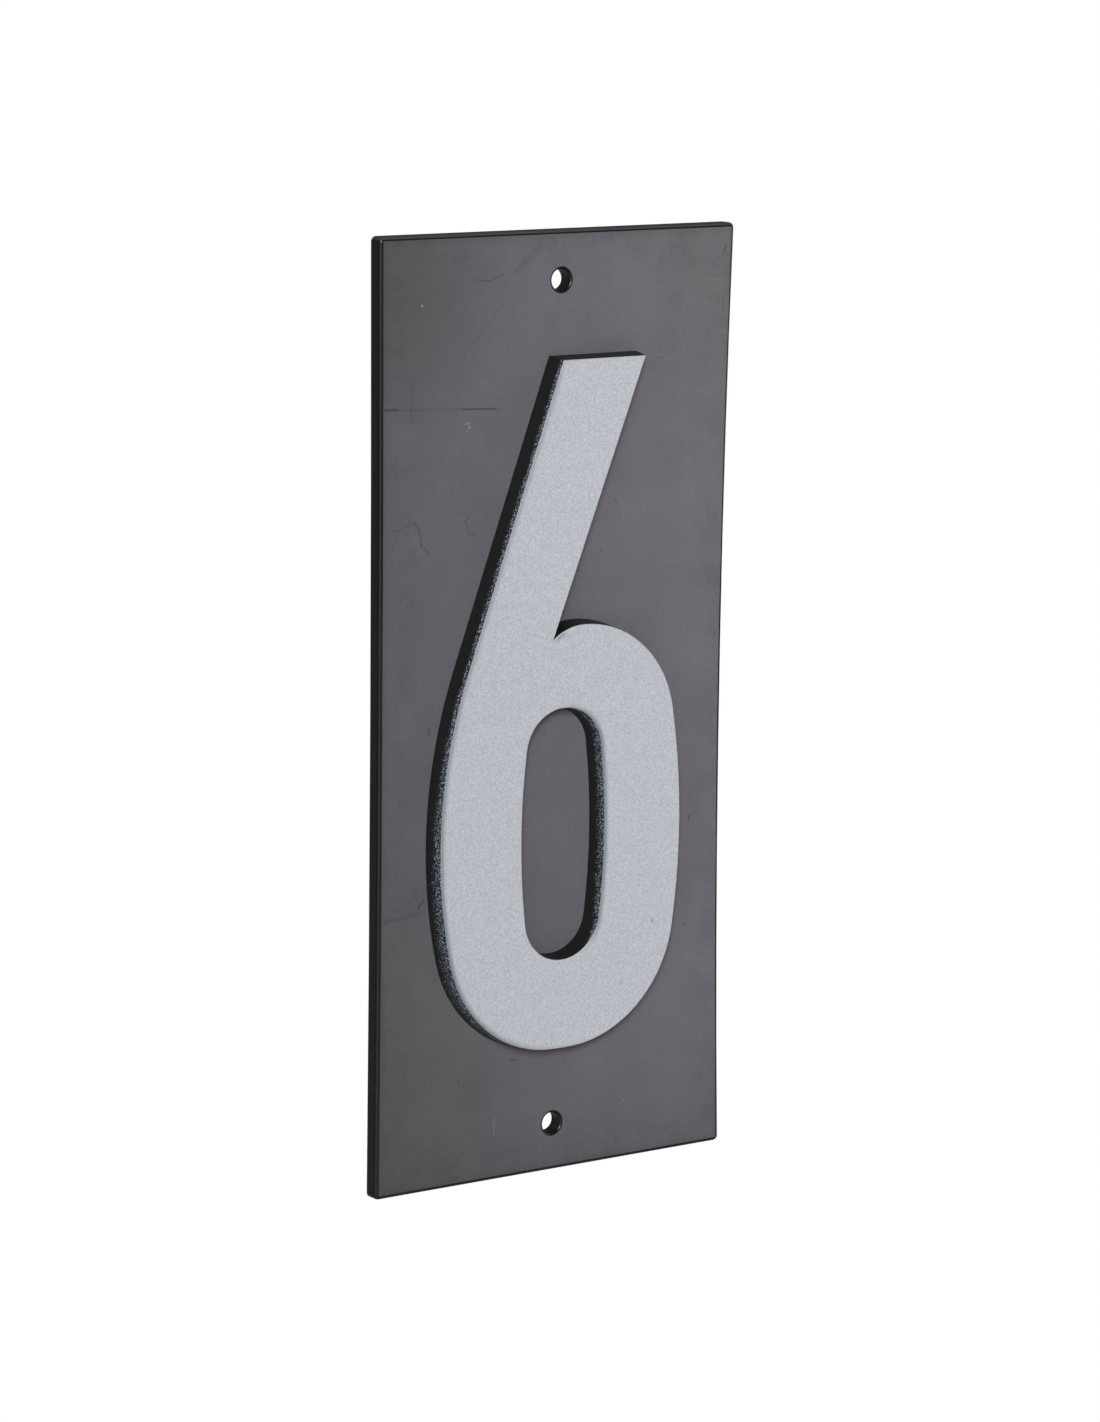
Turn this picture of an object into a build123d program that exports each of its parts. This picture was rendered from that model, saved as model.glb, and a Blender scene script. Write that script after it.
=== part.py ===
from build123d import *
from math import cos, radians, sin, tan
import os

# Door number plate, moulded in one piece with a raised digit on its front.
# +X is to the right and +Z is up, seen from the front, which looks along +Y.
# The origin is the centre of the flat back, which lies against the wall.
# Lengths are in millimetres and angles in degrees.

# Plate
plate_width = 80.0
plate_height = 180.0
plate_thickness = 3.0
corner_radius = 1.0  # of the outline, seen from the front
edge_radius = 0.8  # of the front edge
left_hollow = 0.3  # the long sides have drawn in a little at mid height
right_hollow = 1.45

# Screw holes
hole_diameter = 4.0
hole_from_end = 9.3
hole_rim_radius = 0.55

# Digit: its walls
relief = 4.4
draft_angle = 6.0
digit_edge_radius = 0.3

# Digit: its outline where it meets the plate
digit_height = 132.0
digit_rise = 0.7  # of the digit's middle above the plate's middle
bowl_width = 55.75
bowl_height = 82.1
bowl_shift = -1.4  # of the bowl's middle from the plate's middle
left_side_radius = 98.4
right_side_radius = 135.0
foot_width = 3.0  # of the flat at the bottom of the bowl
foot_shift = 0.3  # of the flat's middle from the bowl's middle
peak_shift = 4.55  # of the bowl's highest point from the bowl's middle
notch_reach = 6.05  # from the bowl's highest point to the notch
notch_drop = 1.7
stem_lean = 19.86
top_cut_width = 19.8

# Digit: the strokes round its counter, which is the opening in the bowl
left_stroke = 19.15
right_stroke = 18.6
top_stroke = 16.45
bottom_stroke = 18.1
counter_side_radius = 133.0


# Where an arc that touches the level line at x runs smoothly into a side arc
def meeting_point(side_centre, side_radius, x, level):
    reach = x - side_centre.X
    half_height = abs(level - side_centre.Y)
    radius = (side_radius**2 - reach**2 - half_height**2) / (side_radius - half_height) / 2
    centre = Vector(x, level - radius if level > side_centre.Y else level + radius)
    return centre + (centre - side_centre).normalized() * radius


# Levels and extremes of the bowl
digit_top = digit_rise + digit_height / 2
digit_bottom = digit_rise - digit_height / 2
bowl_top = digit_bottom + bowl_height
bowl_middle = digit_bottom + bowl_height / 2
bowl_left = bowl_shift - bowl_width / 2
bowl_right = bowl_shift + bowl_width / 2
left_side = Vector(bowl_left + left_side_radius, bowl_middle)
right_side = Vector(bowl_right - right_side_radius, bowl_middle)

# Points round the bowl
peak = Vector(bowl_shift + peak_shift, bowl_top)
notch = peak - Vector(notch_reach, notch_drop)
foot_left = Vector(bowl_shift + foot_shift - foot_width / 2, digit_bottom)
foot_right = Vector(bowl_shift + foot_shift + foot_width / 2, digit_bottom)
shoulder = meeting_point(right_side, right_side_radius, peak.X, bowl_top)
low_right = meeting_point(right_side, right_side_radius, foot_right.X, digit_bottom)
low_left = meeting_point(left_side, left_side_radius, foot_left.X, digit_bottom)

# Points of the stem, whose outer edge leaves the bowl's left side as a tangent
lean = radians(stem_lean)
stem_start = left_side + Vector(-cos(lean), sin(lean)) * left_side_radius
cut_left = stem_start + Vector(tan(lean), 1) * (digit_top - stem_start.Y)
cut_right = cut_left + Vector(top_cut_width, 0)

# Points round the counter, which is the same on both sides of its two middle lines
counter_left = bowl_left + left_stroke
counter_right = bowl_right - right_stroke
counter_top = bowl_top - top_stroke
counter_bottom = digit_bottom + bottom_stroke
counter_x = (counter_left + counter_right) / 2
counter_z = (counter_top + counter_bottom) / 2
counter_side = Vector(counter_right - counter_side_radius, counter_z)
counter_corner = meeting_point(counter_side, counter_side_radius, counter_x, counter_top)
mirrored_x = 2 * counter_x - counter_corner.X
mirrored_z = 2 * counter_z - counter_corner.Y

plate_front = Plane.XZ.offset(plate_thickness)

with BuildPart() as number_plate:
    # Flat plate with its two screw holes
    with BuildSketch(Plane.XZ):
        with BuildLine():
            right, top = plate_width / 2, plate_height / 2
            Line((-right, top), (right, top))
            ThreePointArc((right, top), (right - right_hollow, 0), (right, -top))
            Line((right, -top), (-right, -top))
            ThreePointArc((-right, -top), (left_hollow - right, 0), (-right, top))
        make_face()
        fillet(vertices(), radius=corner_radius)
        with Locations((0, top - hole_from_end), (0, hole_from_end - top)):
            Circle(hole_diameter / 2, mode=Mode.SUBTRACT)
    extrude(amount=plate_thickness)

    # Rounded front edge, and rounded rims on the holes
    front_face = faces().sort_by(Axis.Y)[0]
    hole_rims = front_face.edges().filter_by(GeomType.CIRCLE).filter_by(
        lambda edge: edge.radius == hole_diameter / 2
    )
    fillet(hole_rims, radius=hole_rim_radius)
    fillet(faces().sort_by(Axis.Y)[0].outer_wire().edges(), radius=edge_radius)

with BuildPart() as digit:
    with BuildSketch(plate_front):
        # Stem and bowl
        with BuildLine():
            Line(stem_start, cut_left)
            Line(cut_left, cut_right)
            Line(cut_right, notch)
            TangentArc(peak, notch, tangent=(-1, 0))
            TangentArc(peak, shoulder, tangent=(1, 0))
            ThreePointArc(shoulder, (bowl_right, bowl_middle), low_right)
            TangentArc(foot_right, low_right, tangent=(1, 0))
            Line(foot_right, foot_left)
            TangentArc(foot_left, low_left, tangent=(-1, 0))
            ThreePointArc(low_left, (bowl_left, bowl_middle), stem_start)
        make_face()
        # Counter
        with BuildLine():
            upper_right, lower_right = counter_corner, (counter_corner.X, mirrored_z)
            upper_left, lower_left = (mirrored_x, counter_corner.Y), (mirrored_x, mirrored_z)
            ThreePointArc(upper_left, (counter_x, counter_top), upper_right)
            ThreePointArc(upper_right, (counter_right, counter_z), lower_right)
            ThreePointArc(lower_right, (counter_x, counter_bottom), lower_left)
            ThreePointArc(lower_left, (counter_left, counter_z), upper_left)
        make_face(mode=Mode.SUBTRACT)
    extrude(amount=relief)

    # Walls that slope in towards the face, and a softened edge round the face
    walls = faces().filter_by(Axis.Y, reverse=True)
    draft(walls, neutral_plane=plate_front, angle=draft_angle)
    fillet(faces().sort_by(Axis.Y)[0].edges(), radius=digit_edge_radius)

with number_plate:
    add(digit)

number_plate.part.label = "number_plate"
os.makedirs("parts", exist_ok=True)
export_step(number_plate.part, "parts/number_plate.step")
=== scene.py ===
from math import cos, radians, sin

import bmesh
import bpy
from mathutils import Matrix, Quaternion, Vector


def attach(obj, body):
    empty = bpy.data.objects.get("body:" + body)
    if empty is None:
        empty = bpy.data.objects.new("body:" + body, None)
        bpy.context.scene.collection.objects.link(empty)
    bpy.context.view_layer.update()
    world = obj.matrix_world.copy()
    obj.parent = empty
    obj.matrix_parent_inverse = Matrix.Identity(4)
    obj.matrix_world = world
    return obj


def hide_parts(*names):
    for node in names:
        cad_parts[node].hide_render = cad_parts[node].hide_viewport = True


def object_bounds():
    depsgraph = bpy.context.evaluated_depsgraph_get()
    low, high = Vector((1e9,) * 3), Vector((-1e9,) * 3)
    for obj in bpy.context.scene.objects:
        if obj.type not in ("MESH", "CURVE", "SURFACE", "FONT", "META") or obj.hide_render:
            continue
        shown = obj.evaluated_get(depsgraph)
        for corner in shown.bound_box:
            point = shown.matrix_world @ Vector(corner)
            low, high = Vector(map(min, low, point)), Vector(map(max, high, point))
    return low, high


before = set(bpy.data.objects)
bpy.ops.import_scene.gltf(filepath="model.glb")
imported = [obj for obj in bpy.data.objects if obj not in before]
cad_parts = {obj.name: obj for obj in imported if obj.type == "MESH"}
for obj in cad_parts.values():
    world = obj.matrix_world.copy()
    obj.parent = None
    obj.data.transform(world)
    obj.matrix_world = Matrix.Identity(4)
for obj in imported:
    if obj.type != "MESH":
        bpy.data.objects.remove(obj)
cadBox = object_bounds()


# Camera, at the photograph's viewing angle. Places are in metres.
photoCamera = {
    "place": (-0.4992, -0.7209, 0.1577),
    "target": (-0.0015, -0.0030, -0.0004),
    "roll": 0.654,  # degrees, anticlockwise
    "lens": 119.37,  # mm
    "sensor": 36,  # mm, along the frame's long side
    "clip": (0.05, 20),
}


def makeCamera(values):
    place, target = Vector(values["place"]), Vector(values["target"])
    camera = bpy.data.objects.new("camera", bpy.data.cameras.new("camera"))
    bpy.context.scene.collection.objects.link(camera)
    camera.location = place
    camera.rotation_mode = "QUATERNION"
    level = (target - place).to_track_quat("-Z", "Y")
    camera.rotation_quaternion = level @ Quaternion((0, 0, 1), radians(values["roll"]))
    camera.data.lens = values["lens"]
    camera.data.sensor_width = values["sensor"]
    camera.data.clip_start, camera.data.clip_end = values["clip"]
    bpy.context.scene.camera = camera


makeCamera(photoCamera)
bpy.context.scene.view_settings.view_transform = "Standard"
print("camera made")


# Nodes are made and joined by these few functions, so that a material reads as a list of steps
def addNode(tree, kind, inputs=None, **settings):
    node = tree.nodes.new(kind)
    for name, value in settings.items():
        setattr(node, name, value)
    for name, value in (inputs or {}).items():
        socket = node.inputs[name]
        if isinstance(value, bpy.types.NodeSocket):
            tree.links.new(value, socket)
        else:
            socket.default_value = value
    return node


def doMath(tree, operation, *values):
    node = addNode(tree, "ShaderNodeMath", dict(enumerate(values)), operation=operation)
    return node.outputs[0]


def doVector(tree, operation, first, second=(0, 0, 0), output="Vector"):
    inputs = {0: first, 1: second}
    return addNode(tree, "ShaderNodeVectorMath", inputs, operation=operation).outputs[output]


def fade(tree, value, start, end, low=0.0, high=1.0):
    inputs = {"Value": value, "From Min": start, "From Max": end, "To Min": low, "To Max": high}
    return addNode(tree, "ShaderNodeMapRange", inputs, interpolation_type="SMOOTHSTEP").outputs[0]


# The mix node's colours come in at its sockets 6 and 7 and go out at its socket 2
def mixColours(tree, factor, first, second, blend="MIX"):
    inputs = {0: factor, 6: first, 7: second}
    return addNode(tree, "ShaderNodeMix", inputs, data_type="RGBA", blend_type=blend).outputs[2]


def addNoise(tree, position, scale, detail, roughness):
    inputs = {"Vector": position, "Scale": scale, "Detail": detail, "Roughness": roughness}
    return addNode(tree, "ShaderNodeTexNoise", inputs).outputs[0]


# Surroundings: a white background, and soft lamps that are placed round the plate by angle
surroundings = {
    "white": (1, 1, 1, 1),
    "ambient": 0.08,  # what lights the object from all round
    "floorHeight": -0.35,
    "floorRadius": 1.6,
    "floorSides": 96,
    "floorColour": (0.55, 0.55, 0.55, 1),
    "shadowRadius": 0.45,  # within it the floor shows shadows, and beyond it fades to white
    "shadowShare": 0.5,
}

# Azimuth is to the right of the plate's front, as the viewer faces it; angles are in degrees
lamps = {
    "frontLamp": {"azimuth": -33, "elevation": 20, "distance": 1.5, "size": (0.40, 0.40), "power": 18.9},
    "leftPanel": {"azimuth": -62, "elevation": 0, "distance": 1.0, "size": (0.45, 1.2), "power": 1.9},
    "rightFill": {"azimuth": 84, "elevation": 15, "distance": 1.2, "size": (0.6, 0.9), "power": 2.6},
    "topFill": {"azimuth": 60, "elevation": 55, "distance": 1.2, "size": (0.9, 0.6), "power": 0.9},
    "backFill": {"azimuth": 180, "elevation": -5, "distance": 1.6, "size": (0.9, 1.2), "power": 6},
}


def makeBackground(values):
    world = bpy.data.worlds.new("background")
    bpy.context.scene.world = world
    world.use_nodes = True
    tree = world.node_tree
    tree.nodes.clear()
    seen = addNode(tree, "ShaderNodeLightPath").outputs["Is Camera Ray"]
    strength = doMath(tree, "MULTIPLY_ADD", seen, 1 - values["ambient"], values["ambient"])
    shader = addNode(tree, "ShaderNodeBackground", {"Color": values["white"], "Strength": strength})
    addNode(tree, "ShaderNodeOutputWorld", {"Surface": shader.outputs[0]})


def makeFloor(values):
    mesh = bmesh.new()
    sides, size = values["floorSides"], values["floorRadius"]
    bmesh.ops.create_circle(mesh, cap_ends=True, segments=sides, radius=size)
    bmesh.ops.translate(mesh, verts=mesh.verts, vec=(0, 0, values["floorHeight"]))
    data = bpy.data.meshes.new("floor")
    mesh.to_mesh(data)
    mesh.free()
    floor = bpy.data.objects.new("floor", data)
    bpy.context.scene.collection.objects.link(floor)

    material = bpy.data.materials.new("pale floor")
    material.use_nodes = True
    tree = material.node_tree
    tree.nodes.clear()
    place = addNode(tree, "ShaderNodeTexCoord").outputs["Object"]
    aside = doVector(tree, "MULTIPLY", place, (1, 1, 0))
    reach = doVector(tree, "LENGTH", aside, output="Value")
    radius, share = values["shadowRadius"], values["shadowShare"]
    faded = fade(tree, reach, radius / 2, radius, 1 - share, 1)
    seen = addNode(tree, "ShaderNodeLightPath").outputs["Is Camera Ray"]
    pale = addNode(tree, "ShaderNodeBsdfDiffuse", {"Color": values["floorColour"]})
    glow = addNode(tree, "ShaderNodeEmission", {"Color": values["white"], "Strength": 1})
    glowing = doMath(tree, "MULTIPLY", faded, seen)
    mixed = addNode(tree, "ShaderNodeMixShader", {0: glowing, 1: pale.outputs[0], 2: glow.outputs[0]})
    addNode(tree, "ShaderNodeOutputMaterial", {"Surface": mixed.outputs[0]})
    data.materials.append(material)


def makeLamp(name, values):
    azimuth, elevation = radians(values["azimuth"]), radians(values["elevation"])
    direction = Vector((sin(azimuth) * cos(elevation), -cos(azimuth) * cos(elevation), sin(elevation)))
    lamp = bpy.data.lights.new(name, "AREA")
    lamp.shape = "RECTANGLE"
    lamp.size, lamp.size_y = values["size"]
    lamp.energy = values["power"]
    holder = bpy.data.objects.new(name, lamp)
    bpy.context.scene.collection.objects.link(holder)
    holder.location = direction * values["distance"]
    holder.rotation_mode = "QUATERNION"
    holder.rotation_quaternion = (-direction).to_track_quat("-Z", "Y")


makeBackground(surroundings)
makeFloor(surroundings)
for lampName, lampValues in lamps.items():
    makeLamp(lampName, lampValues)
print("floor, background and lamps made")


# Moulded plate: the CAD solid's mesh, joined up so that its rounded edges shade smoothly
mouldedPlate = {
    "weldDistance": 1e-6,
    "flatness": 1e-6,
    "flatAngle": 0.05,  # degrees, below which triangles are joined into one flat face
    "sharpAngle": 30,  # degrees
    "flatWeight": 100,  # how much a large flat face outweighs the small ones beside it in the shading
    "thinPaintWidth": 0.0010,  # the band round the digit's face where the paint may be thin
    "thinPaintSide": (-0.94, 0, -0.34),  # it is thin where the face's edge looks this way
    "longEdge": 0.010,  # border edges longer than this get a point near each end, so that the band is even
    "pointPlace": 0.0025,
}


def makeMouldedPlate(values):
    mesh = bmesh.new()
    mesh.from_mesh(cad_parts["number_plate"].data)
    bmesh.ops.remove_doubles(mesh, verts=mesh.verts, dist=values["weldDistance"])
    bmesh.ops.dissolve_limit(mesh, angle_limit=radians(values["flatAngle"]), verts=[], edges=mesh.edges)
    thinPaint = mesh.verts.layers.float.new("thin_paint")
    level = cadBox[0].y + values["flatness"]
    face = {part for part in mesh.faces if all(corner.co.y < level for corner in part.verts)}
    border = [edge for edge in mesh.edges if sum(part in face for part in edge.link_faces) == 1]
    for edge in border:
        if edge.calc_length() > values["longEdge"]:
            for corner in list(edge.verts):
                bmesh.utils.edge_split(edge, corner, values["pointPlace"] / edge.calc_length())
    for corner in mesh.verts:
        sides = [part.normal for part in corner.link_faces if part not in face]
        outward = (sum(sides, Vector()) * Vector((1, 0, 1))).normalized()
        corner[thinPaint] = max(0.0, outward.dot(Vector(values["thinPaintSide"])))
    bmesh.ops.inset_region(mesh, faces=list(face), thickness=values["thinPaintWidth"], use_boundary=True)
    for corner in {corner for part in face for corner in part.verts}:
        corner[thinPaint] = 0.0
    data = bpy.data.meshes.new("moulded_plate")
    mesh.to_mesh(data)
    mesh.free()
    data.attributes.remove(data.attributes["custom_normal"])  # the loose triangles' own normals
    data.shade_smooth()
    data.set_sharp_from_angle(angle=radians(values["sharpAngle"]))
    piece = bpy.data.objects.new("moulded_plate", data)
    bpy.context.scene.collection.objects.link(piece)
    weighted = piece.modifiers.new("flat faces stay flat", "WEIGHTED_NORMAL")
    weighted.keep_sharp = True
    weighted.weight = values["flatWeight"]
    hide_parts("number_plate")
    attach(piece, "root")
    return piece


piece = makeMouldedPlate(mouldedPlate)
print("plate made,", len(piece.data.polygons), "faces")


# A stroke is a scratch, a smear or a speck on the front, from a start to an end, in millimetres
def makeStrokeGroup():
    group = bpy.data.node_groups.new("stroke", "ShaderNodeTree")
    for name in ("Place", "Start", "End"):
        group.interface.new_socket(name, in_out="INPUT", socket_type="NodeSocketVector")
    group.interface.new_socket("Width", in_out="INPUT", socket_type="NodeSocketFloat")
    group.interface.new_socket("Mask", in_out="OUTPUT", socket_type="NodeSocketFloat")
    given = addNode(group, "NodeGroupInput").outputs
    along = doVector(group, "SUBTRACT", given["End"], given["Start"])
    reach = doVector(group, "SUBTRACT", given["Place"], given["Start"])
    done = doVector(group, "DOT_PRODUCT", reach, along, output="Value")
    whole = doVector(group, "DOT_PRODUCT", along, along, output="Value")
    share = addNode(group, "ShaderNodeMath", {0: done, 1: whole}, operation="DIVIDE", use_clamp=True)
    step = addNode(group, "ShaderNodeVectorMath", {0: along, "Scale": share.outputs[0]}, operation="SCALE")
    away = doVector(group, "DISTANCE", reach, step.outputs[0], output="Value")
    mask = fade(group, away, 0, given["Width"], 1, 0)
    addNode(group, "NodeGroupOutput", {"Mask": mask})
    return group


# Each stroke is its start, its end, its half width and its strength
marks = {
    "dark": [
        ((-38.8, 0, 58.6), (-36.0, 0, 58.5), 0.28, 0.62),
        ((-35.8, 0, 58.3), (-22.0, 0, 57.9), 0.24, 0.18),
        ((-21.8, 0, 57.8), (-14.4, 0, 57.5), 0.28, 0.58),
        ((-32.9, 0, 62.6), (-33.0, 0, 56.3), 0.26, 0.22),
        ((-13.0, 0, 76.9), (-22.3, 0, 66.8), 0.28, 0.16),
        ((-5.0, 0, 87.0), (-9.7, 0, 82.8), 1.30, 0.13),
        ((-19.3, 0, 81.5), (-15.9, 0, 81.1), 0.28, 0.24),
        ((-15.9, 0, 81.1), (-13.0, 0, 82.3), 0.28, 0.24),
        ((-37.0, 0, 36.1), (-32.3, 0, 37.4), 0.28, 0.18),
        ((-32.3, 0, 37.4), (-31.1, 0, 36.1), 0.30, 0.26),
        ((-31.1, 0, 36.1), (-30.7, 0, 33.2), 0.32, 0.36),
        ((-30.7, 0, 33.2), (-28.7, 0, 31.4), 0.28, 0.26),
        ((-20.0, 0, 38.2), (-21.0, 0, 37.0), 0.28, 0.26),
        ((-21.0, 0, 37.0), (-20.3, 0, 34.9), 0.28, 0.26),
        ((-20.3, 0, 34.9), (-18.5, 0, 33.9), 0.28, 0.22),
        ((-38.6, 0, -36.9), (-30.6, 0, -36.0), 0.90, 0.14),
        ((-18.0, 0, -72.0), (-17.0, 0, -72.4), 6.50, 0.12),
        ((12.9, 0, 38.5), (13.2, 0, 38.4), 0.45, 0.30),
        ((9.8, 0, 29.2), (9.8, 0, 29.2), 0.45, 0.30),
        ((28.4, 0, 30.9), (28.4, 0, 30.9), 0.35, 0.20),
        ((-28.7, 0, -1.4), (-28.7, 0, -2.2), 0.50, 0.42),
        ((-30.8, 0, -34.9), (-29.5, 0, -33.5), 0.35, 0.40),
        ((-30.8, 0, -34.9), (-30.5, 0, -34.6), 0.45, 0.25),
        ((-31.8, 0, -31.6), (-31.5, 0, -32.6), 1.20, 0.13),
        ((37.2, 0, 84.2), (37.9, 0, 85.6), 0.30, 0.35),
        ((22.5, 0, 82.0), (23.0, 0, 83.0), 2.00, 0.09),
        ((26.0, 0, 76.0), (27.0, 0, 76.6), 2.50, 0.09),
        ((33.6, 0, 80.0), (39.0, 0, 80.1), 0.35, 0.12),
        ((37.5, 0, 73.0), (37.5, 0, 75.5), 0.50, 0.16),
        ((31.4, 0, -24.0), (31.4, 0, -24.8), 0.50, 0.38),
        ((30.7, 0, -45.4), (30.7, 0, -45.4), 0.50, 0.42),
        ((-9.5, 0, -66.9), (-8.4, 0, -67.1), 0.45, 0.35),
        ((-21.6, 0, -69.4), (-21.6, 0, -69.8), 0.40, 0.30),
        ((2.7, 0, -70.4), (2.7, 0, -70.4), 0.35, 0.22),
    ],
    "light": [
        ((-30.8, 0, 77.2), (-30.8, 0, 77.2), 0.40, 0.75),
        ((-21.3, 0, 55.0), (-20.4, 0, 55.1), 0.28, 0.30),
        ((-20.4, 0, 55.1), (-20.1, 0, 54.3), 0.28, 0.30),
        ((-20.1, 0, 54.3), (-20.9, 0, 53.7), 0.28, 0.25),
        ((-16.8, 0, 62.4), (-16.8, 0, 62.4), 0.30, 0.30),
        ((-22.9, 0, 24.9), (-22.9, 0, 24.9), 0.30, 0.35),
        ((-13.3, 0, -77.6), (-13.3, 0, -81.0), 0.32, 0.16),
        ((21.7, 0, 66.0), (26.9, 0, 64.4), 0.28, 0.10),
        ((28.6, 0, 46.2), (30.4, 0, 44.8), 0.28, 0.14),
        ((29.4, 0, 70.6), (28.1, 0, 64.3), 0.28, 0.08),
        ((1.3, 0, 24.0), (1.3, 0, 24.0), 0.35, 0.30),
        ((35.7, 0, -31.8), (35.7, 0, -31.8), 0.35, 0.35),
        ((16.8, 0, -78.5), (16.9, 0, -78.7), 0.35, 0.25),
    ],
    "silver": [
        ((19.8, 0, -42.4), (19.9, 0, -42.6), 0.50, 0.55),
        ((15.6, 0, -48.0), (15.6, 0, -48.0), 0.35, 0.25),
        ((12.7, 0, -53.7), (12.8, 0, -53.9), 0.50, 0.50),
    ],
}


def addStrokes(tree, group, place, strokes):
    total = 0.0
    for start, end, width, strength in strokes:
        inputs = {"Place": place, "Start": start, "End": end, "Width": width}
        mask = addNode(tree, "ShaderNodeGroup", inputs, node_tree=group).outputs["Mask"]
        total = doMath(tree, "MULTIPLY_ADD", mask, strength, total)
    return total


# Satin black plastic with silver-grey paint on the digit's face. Lengths are in millimetres.
plastic = {
    "plateFront": -3.0,
    "digitFace": -7.4,
    "plateReach": (39.2, 89.2),  # half the width and half the height of the flat front
    "black": (0.006, 0.006, 0.006, 1),
    # Painted sheen on the flat back
    "backSheenGrey": (0.030, 0.030, 0.032, 1),
    # Painted reflection on the plate's top edge, which faces up
    "topSheenBlack": (0.052, 0.052, 0.053, 1),  # on the plate's top edge
    # The flat front's greys stand partly for its textured finish and partly for painted sheen
    "frontGrey": (0.106, 0.105, 0.108, 1),  # by the border and where the front is worn
    "frontViolet": (0.122, 0.116, 0.132, 1),
    "silver": (0.422, 0.436, 0.471, 1),
    "thinSilver": (0.20, 0.23, 0.27, 1),
    "spraySilver": (0.34, 0.39, 0.47, 1),
    "lightDust": (0.35, 0.34, 0.33, 1),
    "flatNormal": (0.998, 0.99995),  # how squarely a flat face looks forward or back

    # The front's shade. Its colours are multiplied by these. The middle factor, with the across and up
    # ones, is painted light, paler to the right and a little upward; the others make it darker towards the
    # bottom and in the top-left corner, and vary it with random tone, dirt and wear.
    "middleShade": 1.13,
    "paintedLightAcross": 0.0056,  # for each millimetre
    "paintedLightUp": 0.0004,
    "footShade": 0.80,
    "blotchShade": (0.95, 1.05),
    "mottleShade": (0.96, 1.04),
    "grainShade": (0.93, 1.07),
    "darkerCornerShare": 0.16,  # how much darker these places are
    "soiledBorder": 0.14,
    "lipShade": 0.10,
    "pitShade": 0.16,

    # Where each of these starts and where it is whole
    "footHeights": (-95, -58),
    "topHeights": (45, 78),
    "darkerCornerAcross": (-10, -32),
    "soiledReach": (12, 0),  # from the front's border
    "soiledSmudges": (0.35, 0.7),
    "lipReach": (1.6, 0),
    "pitReach": (14, 3),
    "pitPores": (0.60, 0.72),
    "topEdge": (88.9, 89.5),
    "upward": (0.15, 0.7),

    # The front's violet tinge, and where it is lost
    "violetReach": (4.5, 11),
    "smudgeReach": 16,  # how far smudges shift the border of the tinge
    "wornHeights": (-15, -60),
    "wornAcross": (-8, -24),
    "wornShare": 0.85,
    "cornerAcross": (12, 30),
    "cornerShare": 0.6,

    # Silver paint
    # Painted light on the coat:
    "coatPaintedLightAcross": 0.0018,  # how much paler it gets to the right, for each millimetre
    "coatGrain": (0.99, 1.43),  # what its colour is multiplied by, from dark grains to pale ones
    "coatHeights": (0.30, 0.14),  # behind the digit's face, where it ends
    "thinPower": 1.5,  # how quickly it thickens away from a thin edge
    "rimTurn": (0.03, 0.15),  # how far the rounded edge has turned from the face
    "rimSide": (0.3, 0.8),
    "rimShift": -0.11,  # where the paint is thin it starts this much nearer the face

    # Specks of paint on the digit's walls
    "spraySide": (-0.8, 0, -0.6),  # walls that face this way caught the most
    "sprayFacing": (0.05, 0.4),
    "sprayAmount": 0.238,
    "speckLevels": (0.78, 0.80),
    "sprayTop": 3.7,  # the height above the plate from which there are most
    "sprayFoot": (2.2, -4.0),  # the height from which there are any, on walls that face less and more
    "footFacing": (0.5, 1.1),
    "counterHalfWidth": (11, 9.5),  # between these the counter's walls give way to the outer ones
    "counterTurn": (0.1, -0.5),  # walls inside the counter have fewer, the more they look down
    "counterFoot": (0.5, 4.0),
    "wallFoot": (0.05, 0.3),

    # Surface
    "frontRoughness": 0.55,
    "edgeRoughness": 0.30,
    "wallRoughness": 0.52,
    "roundedEdge": (0.1, 0.3),  # the heights above the plate where its edge gives way to the digit's wall
    "blotchRoughness": (-0.03, 0.03),
    "specular": 0.38,
    "grainStrength": 0.25,
    "grainDepth": 0.00002,  # metres
}


# Noises: scale for each millimetre, detail and roughness
noises = {
    "blotches": (0.07, 5, 0.62),
    "smudges": (0.16, 4, 0.6),
    "mottle": (0.9, 3, 0.6),
    "pores": (1.1, 2, 0.6),
    "grain": (4.0, 2, 0.7),
    "specks": (3.3, 3, 0.7),
}


# Nearly all of a noise lies between 0.3 and 0.7, which this spreads between the two given values
def spread(tree, noise, low, high):
    return fade(tree, noise, 0.3, 0.7, low, high)


# How much darker a place is, as a factor: 1 where the mask is 0, and 1 less the share where it is 1
def darken(tree, mask, share):
    return doMath(tree, "MULTIPLY_ADD", mask, -share, 1.0)


def multiplyAll(tree, first, *others):
    product = first
    for other in others:
        product = doMath(tree, "MULTIPLY", product, other)
    return product


def tint(tree, colour, factor):
    factorColour = addNode(tree, "ShaderNodeCombineColor", {0: factor, 1: factor, 2: factor})
    return mixColours(tree, 1.0, colour, factorColour.outputs[0], "MULTIPLY")
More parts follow.
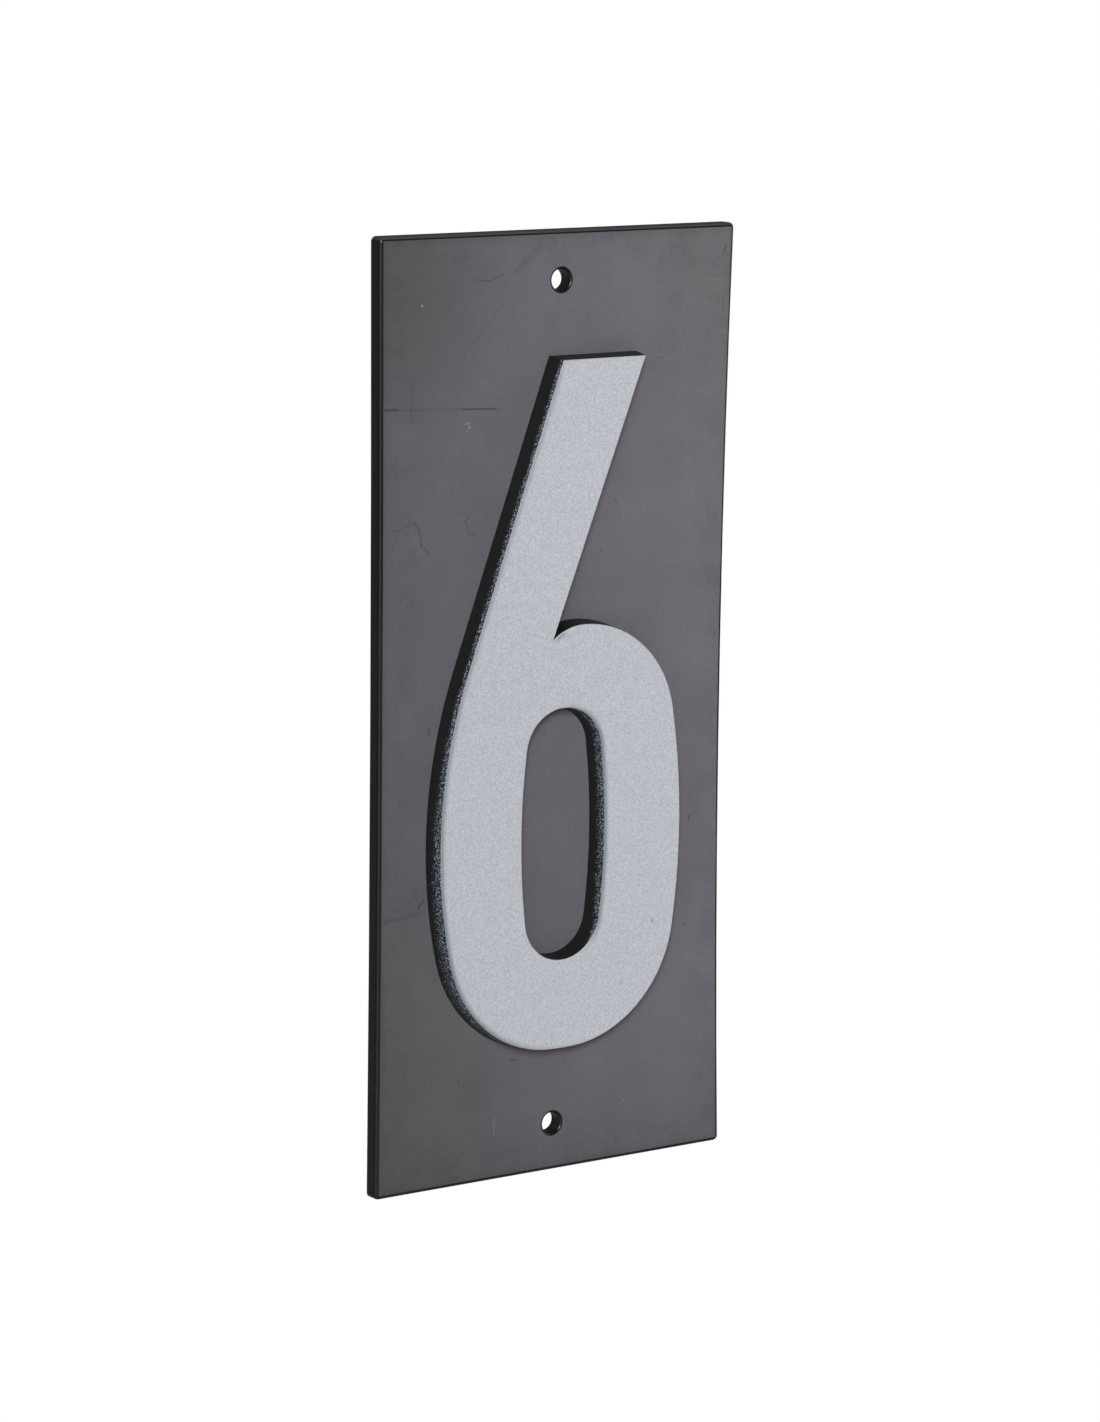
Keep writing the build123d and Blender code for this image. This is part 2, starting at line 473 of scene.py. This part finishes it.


# The flat front's colour: a grey that is partly painted sheen, with painted light that is paler to the
# right, smudged and worn towards its border, with scratches, spots and dust
def makeFrontColour(tree, values, strokeGroup, level, across, up, blotches, grain):
    smudges = addNoise(tree, level, *noises["smudges"])
    mottle = addNoise(tree, level, *noises["mottle"])
    pores = addNoise(tree, level, *noises["pores"])
    aside = doMath(tree, "ABSOLUTE", across)
    halfWidth, halfHeight = values["plateReach"]
    toSide = doMath(tree, "SUBTRACT", halfWidth, aside)
    toEnd = doMath(tree, "SUBTRACT", halfHeight, doMath(tree, "ABSOLUTE", up))
    toBorder = doMath(tree, "MINIMUM", toSide, toEnd)

    # Painted light: the front is paler to the right and a little upward
    paintedLight = doMath(tree, "MULTIPLY_ADD", across, values["paintedLightAcross"], values["middleShade"])
    paintedLight = doMath(tree, "MULTIPLY_ADD", up, values["paintedLightUp"], paintedLight)
    rise = fade(tree, up, *values["footHeights"], values["footShade"], 1.0)
    high = fade(tree, up, *values["topHeights"])
    # Darker in the top-left corner
    darkerCorner = multiplyAll(tree, high, fade(tree, across, *values["darkerCornerAcross"]))
    soiled = fade(tree, toBorder, *values["soiledReach"])
    soiled = multiplyAll(tree, soiled, fade(tree, smudges, *values["soiledSmudges"]))
    lip = fade(tree, toBorder, *values["lipReach"])
    pits = fade(tree, toBorder, *values["pitReach"])
    pits = multiplyAll(tree, pits, fade(tree, pores, *values["pitPores"]))
    scratches = addStrokes(tree, strokeGroup, level, marks["dark"])
    shade = multiplyAll(
        tree, paintedLight, rise,
        darken(tree, darkerCorner, values["darkerCornerShare"]),
        spread(tree, blotches, *values["blotchShade"]),
        spread(tree, mottle, *values["mottleShade"]),
        spread(tree, grain, *values["grainShade"]),
        darken(tree, soiled, values["soiledBorder"]),
        darken(tree, lip, values["lipShade"]),
        darken(tree, pits, values["pitShade"]),
        darken(tree, scratches, 1.0),
    )

    # The violet tinge is lost by the border, at the lower left and in the top corners
    low = fade(tree, up, *values["wornHeights"])
    worn = multiplyAll(tree, low, fade(tree, across, *values["wornAcross"]), values["wornShare"])
    corners = multiplyAll(tree, high, fade(tree, aside, *values["cornerAcross"]), values["cornerShare"])
    worn = doMath(tree, "MAXIMUM", worn, corners)
    uneven = doMath(tree, "MULTIPLY_ADD", smudges, values["smudgeReach"], toBorder)
    violet = multiplyAll(tree, fade(tree, uneven, *values["violetReach"]), darken(tree, worn, 1.0))
    grey = mixColours(tree, violet, values["frontGrey"], values["frontViolet"])
    grey = tint(tree, grey, shade)
    light = addStrokes(tree, strokeGroup, level, marks["light"])
    return mixColours(tree, light, grey, values["lightDust"])


# Specks of paint that were sprayed on the digit's walls, more towards the face
def makeSpray(tree, values, place, across, climb, normal, faceZ):
    speck = addNoise(tree, place, *noises["specks"])
    facing = doVector(tree, "DOT_PRODUCT", normal, values["spraySide"], output="Value")
    inside = fade(tree, doMath(tree, "ABSOLUTE", across), *values["counterHalfWidth"])
    hidden = fade(tree, faceZ, *values["counterTurn"], *values["counterFoot"])
    foot = fade(tree, facing, *values["footFacing"], *values["sprayFoot"])
    foot = doMath(tree, "ADD", foot, multiplyAll(tree, inside, hidden))
    cover = fade(tree, climb, foot, values["sprayTop"])
    specks = doMath(tree, "MULTIPLY_ADD", cover, values["sprayAmount"], speck)
    specks = fade(tree, specks, *values["speckLevels"])
    raised = fade(tree, climb, *values["wallFoot"])
    return multiplyAll(tree, specks, fade(tree, facing, *values["sprayFacing"]), raised)


# Silver paint, and where it covers the digit. It is thin by some of the face's edges.
def makeSilver(tree, values, strokeGroup, level, across, depth, normal, grain):
    grains = spread(tree, grain, *values["coatGrain"])
    # Painted light: the coat's colour is paler to the right, on top of its grains
    coat = doMath(tree, "MULTIPLY_ADD", across, values["coatPaintedLightAcross"], grains)
    silver = tint(tree, values["silver"], coat)
    thin = addNode(tree, "ShaderNodeAttribute", attribute_name="thin_paint").outputs["Fac"]
    turn = doVector(tree, "MULTIPLY", normal, (1, 0, 1))
    outward = doVector(tree, "NORMALIZE", turn)
    turned = doVector(tree, "DOT_PRODUCT", outward, mouldedPlate["thinPaintSide"], output="Value")
    rounded = fade(tree, doVector(tree, "LENGTH", turn, output="Value"), *values["rimTurn"])
    turned = doMath(tree, "MULTIPLY", turned, rounded)
    thin = doMath(tree, "POWER", doMath(tree, "MAXIMUM", thin, turned), values["thinPower"])
    silver = mixColours(tree, thin, silver, values["thinSilver"])
    flecks = addStrokes(tree, strokeGroup, level, marks["silver"])
    silver = mixColours(tree, flecks, silver, values["thinSilver"])
    rim = fade(tree, turned, *values["rimSide"], 0.0, values["rimShift"])
    shifted = doMath(tree, "SUBTRACT", depth, rim)
    painted = fade(tree, shifted, *(values["digitFace"] + height for height in values["coatHeights"]))
    return silver, painted


def makePlastic(values):
    material = bpy.data.materials.new("satin plastic with silver digit")
    material.use_nodes = True
    tree = material.node_tree
    tree.nodes.clear()
    coordinates = addNode(tree, "ShaderNodeTexCoord").outputs
    place = doVector(tree, "MULTIPLY", coordinates["Object"], (1000, 1000, 1000))  # in millimetres
    level = doVector(tree, "MULTIPLY", place, (1, 0, 1))
    normal = coordinates["Normal"]
    across, depth, up = addNode(tree, "ShaderNodeSeparateXYZ", {0: place}).outputs
    faceY, faceZ = addNode(tree, "ShaderNodeSeparateXYZ", {0: normal}).outputs[1:]
    climb = doMath(tree, "SUBTRACT", values["plateFront"], depth)
    blotches = addNoise(tree, level, *noises["blotches"])
    grain = addNoise(tree, place, *noises["grain"])
    strokeGroup = makeStrokeGroup()

    # Black on the edges and walls; on the flat back a dark grey that is painted sheen; on the flat front a
    # paler grey, partly its textured finish and partly painted sheen
    back = fade(tree, faceY, *values["flatNormal"])
    colour = mixColours(tree, back, values["black"], values["backSheenGrey"])
    # Painted reflection: the plate's top edge, where it faces up, is paler
    topSheen = multiplyAll(tree, fade(tree, faceZ, *values["upward"]), fade(tree, up, *values["topEdge"]))
    colour = mixColours(tree, topSheen, colour, values["topSheenBlack"])
    flat = fade(tree, doMath(tree, "MULTIPLY", faceY, -1.0), *values["flatNormal"])
    front = makeFrontColour(tree, values, strokeGroup, level, across, up, blotches, grain)
    colour = mixColours(tree, flat, colour, front)
    sprayed = makeSpray(tree, values, place, across, climb, normal, faceZ)
    colour = mixColours(tree, sprayed, colour, values["spraySilver"])
    silver, painted = makeSilver(tree, values, strokeGroup, level, across, depth, normal, grain)
    colour = mixColours(tree, painted, colour, silver)

    edges = fade(tree, climb, *values["roundedEdge"], values["edgeRoughness"], values["wallRoughness"])
    roughness = fade(tree, flat, 0, 1, edges, values["frontRoughness"])
    roughness = doMath(tree, "ADD", roughness, spread(tree, blotches, *values["blotchRoughness"]))
    bump = addNode(tree, "ShaderNodeBump", {
        "Strength": values["grainStrength"],
        "Distance": values["grainDepth"],
        "Height": grain,
    })
    shader = addNode(tree, "ShaderNodeBsdfPrincipled", {
        "Base Color": colour,
        "Roughness": roughness,
        "Specular IOR Level": values["specular"],
        "Normal": bump.outputs[0],
    })
    addNode(tree, "ShaderNodeOutputMaterial", {"Surface": shader.outputs[0]})
    return material


piece.data.materials.clear()
piece.data.materials.append(makePlastic(plastic))
print("plastic made")
